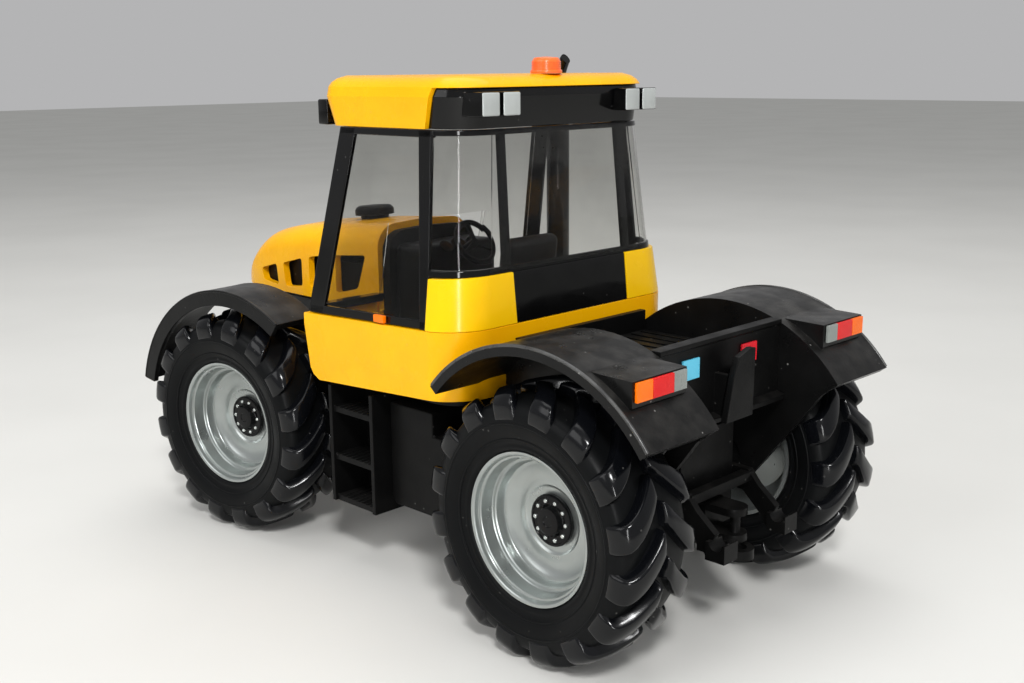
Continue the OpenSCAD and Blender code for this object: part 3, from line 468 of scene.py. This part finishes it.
def bolt_ring():
    """The bolts round a hub, each with a rounded end."""
    bolt = ring_solid([(1.2, 0.38), (1.55, 0.38), (1.66, 0.3), (1.7, 0.16), (1.7, 0.005)], 12, False)
    parts = []
    for k in range(BOLTS):
        a = 2 * math.pi * k / BOLTS
        parts.append(moved(bolt, Matrix.Translation((0, BOLT_CIRCLE * math.cos(a), BOLT_CIRCLE * math.sin(a)))))
    return join(*parts)


RIM_PROFILE = [(-7, 12.7), (7, 12.7), (7, 12.5), (6.95, 12.25), (6.8, 12.08), (6.5, 11.98), (6.2, 11.95),
               (6.05, 11.85), (6.0, 11.55), (5.85, 11.42), (5.2, 11.36), (4.3, 11.25), (3.75, 11.15), (3.6, 11.0),
               (3.55, 10.6), (3.35, 10.42), (2.6, 10.3), (2.0, 10.18), (1.8, 10.05), (1.72, 9.6), (1.55, 9.35),
               (1.2, 8.6), (0.95, 7.6), (0.9, 6.8), (1.0, 6.3), (0.95, 5.9), (0.7, 5.6), (0.6, 5.3), (0.6, 3.65),
               (-0.9, 3.65), (-0.9, 8.9), (-1.6, 10.1), (-3, 11.0), (-6.4, 11.5), (-7, 12.0)]
HUB_PROFILE = [(-3.2, 3.6), (0.65, 3.6), (0.65, 4.4), (1.2, 4.4), (1.38, 4.3), (1.45, 4.1), (1.45, 3.95),
               (1.3, 3.85), (1.3, 2.75), (1.45, 2.6), (1.9, 2.42), (2.18, 2.25), (2.24, 2.0), (2.24, 0.95),
               (2.1, 0.8), (2.1, 0.01), (1.0, 0.01), (1.0, 1.55), (-3.2, 1.55)]

# Each piece of a wheel: its form, material, the node that it stands for, sharp angle and slot
WHEEL_PIECES = (("tyre_body", carcass(), TYRE, "tyre", 50, "tyre_rubber"),
                ("tyre_lugs", tyre_lugs(), LUG, "tyre", 48, "tyre_rubber"),
                ("tyre_rings", side_ribs(), TYRE, "tyre", 60, "tyre_rubber"),
                ("rim_drum", ring_solid(RIM_PROFILE, 128), RIM, "rim", 28, "rim_grey"),
                ("hub_cap", ring_solid(HUB_PROFILE, 72), HUB, "hub", 28, "black_plastic"),
                ("hub_bolts", bolt_ring(), BOLT, "hub", 40, "rim_grey"))
for axle in ("front", "rear"):
    for way, word in ((1, "left"), (-1, "right")):
        tag, where = f"{axle}_{word}", wheel_matrix(axle, way)
        for piece, part, mat, node, smooth, slot in WHEEL_PIECES:
            add_mesh(f"{piece}_{tag}", *part, mat, f"wheel_{tag}", f"{node}_{tag}", where, smooth, slot)

# CAD nodes that stay in sight, with the width of their moulded edges
for name, width in (("cab_tub", 0.22), ("corner_panel_left", 0.2), ("corner_panel_right", 0.2), ("roof", 0.3),
                    ("roof_band", 0.15), ("load_deck", 0.22), ("rear_fender_left", 0.2),
                    ("rear_fender_right", 0.2), ("front_fender_left", 0.2), ("front_fender_right", 0.2),
                    ("steps", 0.15), ("side_tanks", 0.4), ("chassis", 0.25), ("engine", 0.25),
                    ("work_lamps_rear", 0.25), ("tail_lamps_amber", 0.08),
                    ("tail_lamps_red", 0.08), ("tail_lamps_grey", 0.08), ("plate_blue", 0.1), ("plate_red", 0.1),
                    ("drawbar", 0.15), ("rear_linkage", 0.15), ("front_axle", 0.2),
                    ("rear_axle", 0.15), ("cab_rear_panel", 0.2), ("side_markers", 0.15), ("beacon", 0.15),
                    ("air_cleaner", 0.2), ("knuckle_left", 0.15), ("knuckle_right", 0.15)):
    soften(name, width)


# Details of the body, drawn from the rear axle
def arc(radius, a0, a1, x, n=40):
    """Points along a fender's edge between two angles over the axle line."""
    return [(x, radius * math.cos(math.radians(a0 + (a1 - a0) * k / n)),
             radius * math.sin(math.radians(a0 + (a1 - a0) * k / n))) for k in range(n + 1)]


def detail(name, part, mat, slot, smooth=40, body="body", where=HOME):
    """A piece that is added to the nodes and replaces none."""
    return add_mesh(name, *part, mat, body, None, where, smooth, slot)


def solid_shell(rows, thick):
    """A wall from rows of (outer point, inward direction), closed at its edges."""
    m, n = len(rows), len(rows[0])
    pts = [tuple(p) for row in rows for p, _ in row]
    pts += [tuple(Vector(p) + Vector(d) * thick) for row in rows for p, d in row]
    half = m * n
    faces = []
    for j in range(m - 1):
        for i in range(n - 1):
            q = (j * n + i, j * n + i + 1, (j + 1) * n + i + 1, (j + 1) * n + i)
            faces += [q, tuple(v + half for v in reversed(q))]
    rim = list(range(n)) + [j * n + n - 1 for j in range(1, m)]
    rim += [(m - 1) * n + i for i in range(n - 2, -1, -1)] + [j * n for j in range(m - 2, 0, -1)]
    for k, v in enumerate(rim):
        w = rim[(k + 1) % len(rim)]
        faces.append((w, v, v + half, w + half))
    return pts, faces


# The cab's windows lean inward; these follow the CAD frame's outer faces. The back's corners are round.
CORNER, CORNER_STEPS = 8.0, 16


def win_x(z):
    """Half the cab's width at a height."""
    return 29.4 - (z - 27.4) * 0.1


def win_back(z):
    """How far in front of the rear axle the cab's back stands at a height."""
    return 21.4 + (z - 27.4) * 0.08


def screen_y(z):
    """Where the windscreen stands at a height."""
    return -61.8 + (z - 27.2) * 7 / 32


def outline(z, y_front, inset):
    """Points and inward directions round the cab's back at one height, from the left side to the right."""
    hw, back = win_x(z) - inset, win_back(z) - inset
    c, radius = win_x(z) - CORNER, CORNER - inset
    line = [((hw, y_front, z), (-1, 0, 0)), ((hw, -win_back(z) - CORNER, z), (-1, 0, 0))]
    for k in range(1, CORNER_STEPS):
        a = math.pi / 2 * k / CORNER_STEPS
        line.append(((c + radius * math.cos(a), -win_back(z) - CORNER + radius * math.sin(a), z),
                     (-math.cos(a), -math.sin(a), 0)))
    line += [((c, -back, z), (0, -1, 0)), ((0, -back, z), (0, -1, 0))]
    return line + [((-p[0], p[1], p[2]), (-d[0], d[1], d[2])) for p, d in reversed(line[:-1])]


def wrap(z0, z1, y_front, inset, thick, steps=1):
    """A wall round the cab's back between two heights."""
    heights = [z0 + (z1 - z0) * k / steps for k in range(steps + 1)]
    return solid_shell([outline(z, y_front, inset) for z in heights], thick)


def side_wall(edges, inset, thick):
    """A flat piece of the side between edges given as (height, front, rear)."""
    rows = [[((win_x(z) - inset, y, z), (-1, 0, 0)) for y in (front, rear)] for z, front, rear in edges]
    return solid_shell(rows, thick)


def back_wall(edges, inset, thick):
    """A flat piece of the back between edges given as (height, inner end, outer end)."""
    rows = [[((x, -win_back(z) + inset, z), (0, -1, 0)) for x in (x0, x1)] for z, x0, x1 in edges]
    return solid_shell(rows, thick)


def screen_row(z, x0, x1, forward=0.0):
    """Two points across the windscreen at one height, with the way inward."""
    return [((x, screen_y(z) - forward, z), (0, 1, 0)) for x in (x0, x1)]


# Height of the windows' head, thickness of the frames, and the panes' inset and thickness
HEAD, FRAME_T = 61.2, 0.9
PANE_IN, PANE_T = 0.3, 0.2


def sill(y):
    """Height of the side windows' sill along the cab."""
    return 25.8 + (y + 64.2) * 0.037


front_post = side_wall([(z, screen_y(z) - 1.2, screen_y(z) + 3.3) for z in (26.1, HEAD)], 0, FRAME_T)
middle_post = side_wall([(z, -33.8 + (HEAD - z) * 0.08, -30.5 + (HEAD - z) * 0.045) for z in (27.0, HEAD)],
                        0, FRAME_T)
head_rail = side_wall([(59.9, screen_y(60) - 1, -30), (HEAD, screen_y(HEAD) - 1, -30)], 0, FRAME_T)
sill_edges = (((-62.9, 26.0), (-29, sill(-29) + 0.1)), ((-62.5, 27.6), (-29, sill(-29) + 1.6)))
sill_rail = solid_shell([[((win_x(z), y, z), (-1, 0, 0)) for y, z in edge] for edge in sill_edges], FRAME_T)
rear_post = back_wall([(z, 15.4 - (z - 37) * 0.03, 17.2 - (z - 37) * 0.035) for z in (36.6, HEAD)], 0, FRAME_T)
add_mesh("window_frames", *both_sides(front_post, middle_post, head_rail, sill_rail, rear_post), GLOSS, "body",
         "cab_frame", HOME, 30, "black_plastic")
add_mesh("window_rings", *join(wrap(36.35, 37.6, -30.5, 0, FRAME_T), wrap(60.2, HEAD, -31, 0, FRAME_T)), GLOSS,
         "body", "cab_frame", HOME, 30, "black_plastic")
bars = [solid_shell([screen_row(z, x1, x0, 1.0) for z in (z0, z1)], 2.4)
        for z0, z1, x0, x1 in ((26.0, 27.6, 12.9, win_x(26.0) - 0.4), (59.9, HEAD, 0, win_x(HEAD) - 0.3))]
add_mesh("screen_bars", *both_sides(*bars), GLOSS, "body", "cab_frame", HOME, 30, "black_plastic")
for piece in ("window_frames", "window_rings", "screen_bars"):
    round_edges(bpy.data.objects[piece], 0.18, 3, 50)

# Clear panes: a flat one in each door, one bent round the back, and one in front that parts below for the bonnet
SCREEN_FOOT, SCREEN_WAIST, SCREEN_TOP = 27.9, 42.0, 60.4
door_pane = side_wall([(z, screen_y(z) + 1, -31) for z in (27.8, 60.5)], PANE_IN, PANE_T)
add_mesh("door_panes", *both_sides(door_pane), CLEAR, "body", "glazing", HOME, 30, "clear")
add_mesh("rear_pane", *wrap(37.0, 60.8, -30.2, PANE_IN, PANE_T, 6), CLEAR, "body", "glazing", HOME, 40, "clear")
screen_top = solid_shell([screen_row(z, win_x(z) - 1.0, 1.0 - win_x(z)) for z in (SCREEN_WAIST, SCREEN_TOP)], PANE_T)
screen_low = solid_shell([screen_row(z, win_x(z) - 1.0, 12.85) for z in (SCREEN_FOOT, SCREEN_WAIST)], PANE_T)
add_mesh("screen_pane", *join(screen_top, both_sides(screen_low)), CLEAR, "body", "glazing", HOME, 30, "clear")

for piece in ("window_frames", "window_rings", "screen_bars", "door_panes", "rear_pane", "screen_pane"):
    outward(bpy.data.objects[piece].data)

# Bonnet: a smooth shell lofted over its stations, with the vents cut through its sides
NOSE, BONNET_END = -113.2, -62.6
stations = smooth_line([(NOSE, 9.5, 27.0, 2.5), (NOSE + 1.4, 10.3, 29.2, 3.2), (NOSE + 3.7, 11.2, 31.5, 3.8),
                        (NOSE + 7.5, 11.9, 34.4, 4.2), (NOSE + 12.2, 12.2, 36.7, 4.5), (NOSE + 20, 12.4, 38.5, 4.8),
                        (NOSE + 29, 12.5, 39.6, 5.0), (BONNET_END, 12.5, 41.3, 5.0)], 5)


def bonnet_loft(inset, low, front, back):
    """The bonnet's form, set in by inset, from its lower edge up."""
    rows = []
    for y, hw, high, r in stations:
        if y < front or y > back:
            continue
        hw, high, r = hw - inset, high - inset, max(0.6, r - inset * 0.5)
        half = [(hw, low), (hw, (low + high - r) / 2)]
        half += [(hw - r + r * math.cos(a), high - r + r * math.sin(a) * 0.96)
                 for a in [math.pi / 2 * k / 10 for k in range(11)]]
        half.append((0, high + 0.12 * (1 - inset / 2)))
        row = half + [(-x, z) for x, z in reversed(half[:-1])]
        rows.append([(x, y, z) for x, z in row])
    n = len(rows[0])
    pts = [p for row in rows for p in row]
    faces = [(j * n + i, j * n + (i + 1) % n, (j + 1) * n + (i + 1) % n, (j + 1) * n + i)
             for j in range(len(rows) - 1) for i in range(n)]
    faces += [tuple(reversed(range(n))), tuple(range((len(rows) - 1) * n, len(rows) * n))]
    return pts, faces


def prism(profile, x0, x1):
    """A side profile of (y, z) carried from x0 to x1."""
    n = len(profile)
    pts = [(x0, y, z) for y, z in profile] + [(x1, y, z) for y, z in profile]
    faces = [tuple(reversed(range(n))), tuple(range(n, 2 * n))]
    faces += [(i, (i + 1) % n, n + (i + 1) % n, n + i) for i in range(n)]
    return pts, faces


def rounded(points, r, n=4):
    """A closed outline with its corners rounded."""
    out = []
    for i, p in enumerate(points):
        p, before, after = Vector(p), Vector(points[i - 1]), Vector(points[(i + 1) % len(points)])
        a, b = p + (before - p).normalized() * r, p + (after - p).normalized() * r
        for k in range(n + 1):
            u = k / n
            out.append(tuple(a * (1 - u) ** 2 + p * 2 * u * (1 - u) + b * u * u))
    return out


def form(name, part):
    """An object that is only there for the cuts and is taken out after them."""
    mesh = bpy.data.meshes.new(name)
    mesh.from_pydata([tuple(c * MM for c in p) for p in part[0]], [], part[1])
    outward(mesh)
    o = bpy.data.objects.new(name, mesh)
    bpy.context.scene.collection.objects.link(o)
    return o


VENTS = [[(-104.8, 28), (-104, 25.4), (-98, 24.9), (-98.6, 29.6)],
         [(-96, 30), (-95.2, 24.9), (-88.8, 25.6), (-88.8, 31.8)],
         [(-86.2, 32.3), (-86.2, 25.8), (-79.4, 25.4), (-79.4, 33.4)],
         [(-76.8, 33.6), (-76.8, 25.6), (-69.4, 27.4), (-66.6, 34.6)]]
shell = form("bonnet_form", bonnet_loft(0, 23.6, NOSE - 1, 0))
hollow = form("bonnet_hollow", bonnet_loft(1.5, 22.5, NOSE + 3, 0))
hollow.location.y = 1 * MM
tools = [hollow] + [form(f"bonnet_vent_{k}", prism(rounded(v, 0.9), -20, 20)) for k, v in enumerate(VENTS)]
tools.append(form("bonnet_slot", block(-7, 7, NOSE - 1, NOSE + 4, 24.6, 27.2, 0.4)))
for tool in tools:
    cut = shell.modifiers.new(tool.name, "BOOLEAN")
    cut.operation, cut.solver, cut.object = "DIFFERENCE", "EXACT", tool
cut_mesh = bpy.data.meshes.new_from_object(shell.evaluated_get(bpy.context.evaluated_depsgraph_get()))
bonnet_part = [tuple(v.co / MM) for v in cut_mesh.vertices], [tuple(f.vertices) for f in cut_mesh.polygons]
for tool in tools + [shell]:
    bpy.data.objects.remove(tool)
bonnet = add_mesh("bonnet_shell", *bonnet_part, YELLOW, "body", "bonnet", HOME, 32, "body_yellow")
round_edges(bonnet, 0.16, 2, 42)

# Dashboard: a dark cowl that fills the bonnet's open end
cowl = bonnet_loft(1.2, 16.0, BONNET_END - 6, BONNET_END)
cowl = [(x, y + 2.3, z) for x, y, z in cowl[0]], cowl[1]
desk = block(-10, 10, -60.5, -51.4, 16, 37.4, 1.6, 4)
add_mesh("dash_cowl", *join(cowl, desk), BLACK, "body", "dashboard", HOME, 40, "black_plastic")

# Exhaust stack with its bent tip and two clamps
EXHAUST_X, EXHAUST_Y = -32.65, -55.0
stack = ring_solid([(22.2, 0.01), (22.2, 1.7), (26, 1.7), (26.2, 2.4), (26.4, 2.5), (62.4, 2.5), (62.8, 2.3),
                    (63, 1.2), (63, 0.01)], 40, False)
stack = moved(stack, Matrix.Translation((EXHAUST_X, EXHAUST_Y, 0)) @ UPRIGHT)
tip = pipe(smooth_line([(EXHAUST_X, EXHAUST_Y + back, z) for back, z in
                        ((0, 62), (0.2, 66), (0.8, 70), (1.9, 72.7), (2.3, 73.2))], 6), 1.15, 20)
clamps = [block(EXHAUST_X, x, -56.4, -54.8, z0, z1, 0.15) for x, z0, z1 in ((-30.1, 24.2, 25.6), (-26.6, 56.2, 57.8))]
add_mesh("exhaust_pipe", *join(stack, tip, *clamps), GLOSS, "body", "exhaust_stack", HOME, 35, "black_plastic")

# Work lamps at the roof's front corners
front_lamp = join(block(20.3, 24.7, -64.0, -61.1, 61.3, 66.0, 0.35, 3),
                  block(21.4, 23.0, -62.2, -58.8, 62.4, 64.2, 0.2))
add_mesh("front_work_lamps", *both_sides(front_lamp), GLOSS, "body", "work_lamps_front", HOME, 40, "black_plastic")

# Lips along the fenders' edges, at their radii round the axles
REAR_LIP_R, FRONT_LIP_R = 29.62, 27.5
# The rear lips carry a grey painted highlight along the fenders' edges
detail("fender_lips_rear", both_sides(pipe(arc(REAR_LIP_R, 37, 138, 34.72), 0.3)), EDGE, "black_plastic", 60)
front_lips = join(*[pipe(arc(FRONT_LIP_R, 55, 167.5, x), thick) for x, thick in ((18.6, 0.3), (8.15, 0.25))])
for way, word in ((1, "left"), (-1, "right")):
    detail(f"fender_lips_{word}", front_lips, FENDER, "black_plastic", 60, f"steering_{word}", knuckle_matrix(way))

# Lamp faces in their housings
rear_faces = [block(x + 0.08, x + 4.17, -21.7, -20.72, 63.48, 67.42, 0.3, 3) for x in (14.0, 18.95)]
detail("work_lamp_lenses", both_sides(*rear_faces), SILVER_LENS, "lamp_grey")
front_face = block(20.7, 24.3, -64.25, -63.95, 61.7, 65.6, 0.12)
detail("front_work_lamp_lenses", both_sides(front_face), LENS, "lamp_grey")
lamp_rim = ring_solid([(-0.1, 2.55), (0.5, 2.5), (0.62, 2.3), (0.5, 2.1), (-0.1, 2.1)], 48)
lamp_rim = moved(lamp_rim, Matrix.Translation((5.6, -111.3, 8)) @ Matrix.Rotation(-math.pi / 2, 4, "Z"))
detail("headlamp_rims", both_sides(lamp_rim), GLOSS, "black_plastic")

# Ribs on the step plates and on the load deck's floor
STEP_Z, TREAD_Y = (7, -2.6, -11), (-55.6, -54.2, -52.8, -51.4, -50, -48.6, -47.4)
treads = [block(20.6, 29.0, y - 0.16, y + 0.16, z + 1.15, z + 1.36, 0.05, 1) for z in STEP_Z for y in TREAD_Y]
detail("step_ribs", both_sides(*treads), BLACK, "black_plastic")
deck_ribs = [block(x - 0.25, x + 0.25, -17.2, 9.6, 21.45, 21.75, 0.08, 1) for x in range(-15, 16, 3)]
detail("deck_ribs", join(*deck_ribs), BLACK, "black_plastic")

# Cab: seat cushions and gauges
seat = join(block(-4.6, 4.6, -41.6, -33.4, 15.5, 20.6, 0.6), block(-6.9, 6.9, -45.9, -35, 20.5, 25.1, 1.5, 4),
            moved(block(-6.9, 6.9, -1.6, 1.6, 0, 17, 1.4, 4),
                  Matrix.Translation((0, -34.4, 23.4)) @ Matrix.Rotation(math.radians(-7), 4, "X")))
add_mesh("seat_cushions", *seat, SEAT, "body", "seat", HOME, 50, "black_plastic")
dials = []
for x, size in ((-3.6, 1.5), (0, 1.9), (3.6, 1.5)):
    dial = ring_solid([(-0.2, size), (0.12, size), (0.18, size - 0.2), (0.05, size - 0.25), (0.02, 0.01)], 32, False)
    dials.append(moved(dial, Matrix.Translation((x, -51.9, 37.0)) @ Matrix.Rotation(math.radians(52), 4, "X")
                       @ Matrix.Rotation(math.pi / 2, 4, "Z")))
detail("dials", join(*dials), GLOSS, "black_plastic")


def ribs_round(places, inner, outer, half):
    """Narrow raised rings round X."""
    return join(*[ring_solid([(x - half, inner), (x - half, outer), (x + half, outer), (x + half, inner)], 64)
                  for x in places])


# Rings round the air cleaner and the beacon
cleaner_at = Matrix.Translation((0, -78.5, 40.13)) @ Matrix.Rotation(math.radians(4.37), 4, "X") @ UPRIGHT
detail("cleaner_ribs", moved(ribs_round((0.95, 1.35, 1.75), 3.9, 4.2, 0.12), cleaner_at), BLACK, "black_plastic")
beacon_at = Matrix.Translation((0, -28, 70.35)) @ UPRIGHT
detail("beacon_ribs", moved(ribs_round((0.95, 1.3, 1.65, 2.0), 2.5, 2.68, 0.1), beacon_at), ORANGE, "beacon_orange")

# Floor, sky and lamps, in metres
FLOOR_SIZE = 6
bpy.ops.mesh.primitive_plane_add(size=FLOOR_SIZE)
floor = bpy.context.object
floor.name = "studio_floor"
ground = material("studio_floor", srgb(226, 225, 221), srgb(222, 221, 217), rough=0.9, bump=0.01, patch=12,
                  spec=0.0)
floor.data.materials.append(ground)
world = bpy.data.worlds.new("studio")
world.use_nodes = True
bpy.context.scene.world = world
tree = world.node_tree

# The sky lights the part; the wall is what the camera sees, and what shows in gloss and through glass
sky = tree.nodes["Background"]
sky.inputs[0].default_value = (0.8, 0.81, 0.82, 1)
sky.inputs[1].default_value = 0.5
wall = node_of(tree, "ShaderNodeBackground")
wall.inputs[0].default_value = srgb(180, 180, 181)
wall.inputs[1].default_value = 1.0
rays = node_of(tree, "ShaderNodeLightPath").outputs
seen = rays["Is Camera Ray"]
for kind in ("Is Glossy Ray", "Is Transmission Ray"):
    either = node_of(tree, "ShaderNodeMath", operation="MAXIMUM")
    tree.links.new(seen, either.inputs[0])
    tree.links.new(rays[kind], either.inputs[1])
    seen = either.outputs[0]
choice = node_of(tree, "ShaderNodeMixShader")
tree.links.new(seen, choice.inputs[0])
tree.links.new(sky.outputs[0], choice.inputs[1])
tree.links.new(wall.outputs[0], choice.inputs[2])
tree.links.new(choice.outputs[0], tree.nodes["World Output"].inputs[0])


def lamp(name, place, aim, size, power):
    """A white area lamp that points at aim."""
    data = bpy.data.lights.new(name, "AREA")
    data.shape = "RECTANGLE"
    data.size, data.size_y = size
    data.energy = power
    o = bpy.data.objects.new(name, data)
    o.location = place
    o.rotation_euler = (Vector(aim) - Vector(place)).to_track_quat("-Z", "Y").to_euler()
    bpy.context.scene.collection.objects.link(o)


# The key and the strip stand on the camera's side, the fill on the left, and one lamp over the part
eye = cam.matrix_world.translation
lamp("key", eye - look * 0.36 + top * 0.32 + right * 0.04, (0, 0.01, 0.04), (0.1, 0.1), 2.5)
strip = eye - look * 0.3
lamp("strip", (strip.x, strip.y, 0.1), (0, 0, 0.07), (0.04, 0.2), 0.6)
lamp("fill", (0.55, -0.1, 0.4), (0, 0, 0.04), (0.4, 0.4), 1.1)
lamp("high", (-0.1, -0.05, 0.6), (0, 0, 0.04), (0.5, 0.5), 1.5)
